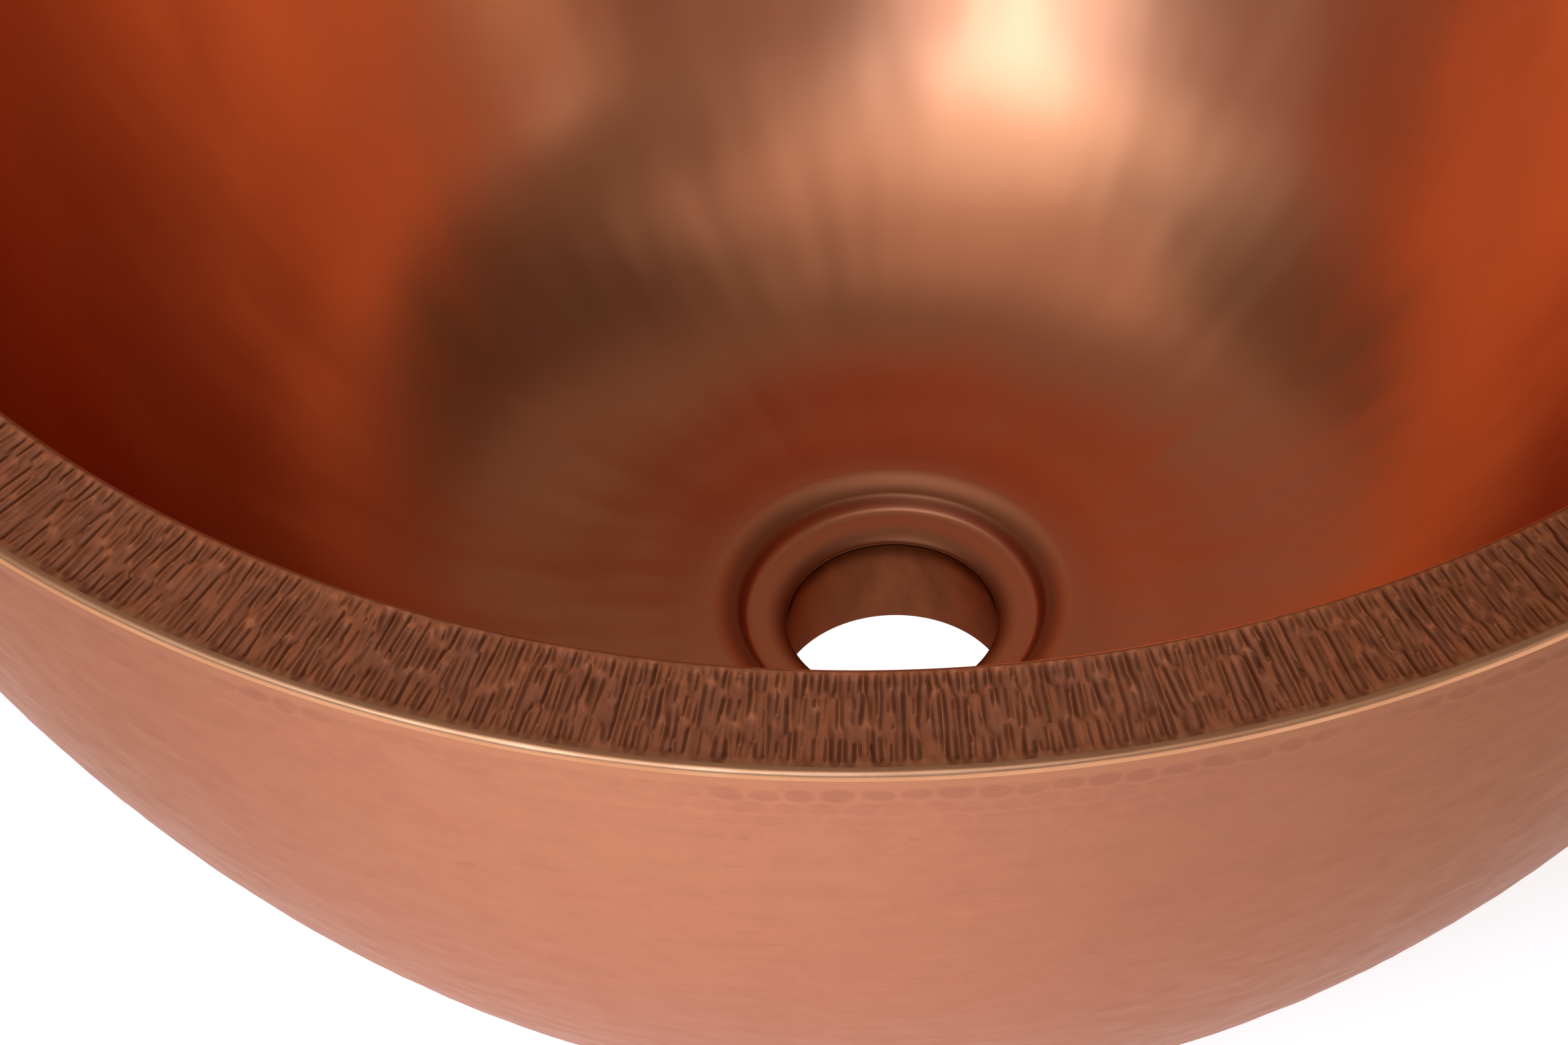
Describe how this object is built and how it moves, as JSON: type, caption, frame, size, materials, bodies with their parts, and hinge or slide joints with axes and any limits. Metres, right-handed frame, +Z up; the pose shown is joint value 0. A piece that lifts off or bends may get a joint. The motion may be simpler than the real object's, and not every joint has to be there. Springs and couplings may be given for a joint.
{
  "type": "copper vessel basin",
  "caption": "Round double-wall vessel basin of hammered copper, with a wide flat chased rim, a deep bowl and a recessed drain opening through both walls.",
  "frame": {"origin": "centre of the flat base that the basin stands on", "axes": "+Z up along the axis that every piece is turned about; the basin opens upwards"},
  "size_m": [0.432, 0.432, 0.212],
  "materials": {
    "hammered_copper": "satin copper, lightly hammered in rows",
    "burnished_copper": "burnished copper, smoothly planished",
    "chased_copper": "darkened copper, with radial hammer marks on the rim",
    "polished_filler": "ground and polished braze metal"
  },
  "bodies": {
    "root": {"outer_shell": "hammered_copper", "inner_basin": "burnished_copper", "rim_ring": "chased_copper", "drain_sleeve": "chased_copper", "rim_outer_seam": "polished_filler", "rim_inner_fillet": "polished_filler", "sleeve_top_fillet": "polished_filler", "sleeve_foot_seam": "polished_filler"}
  },
  "joints": []
}
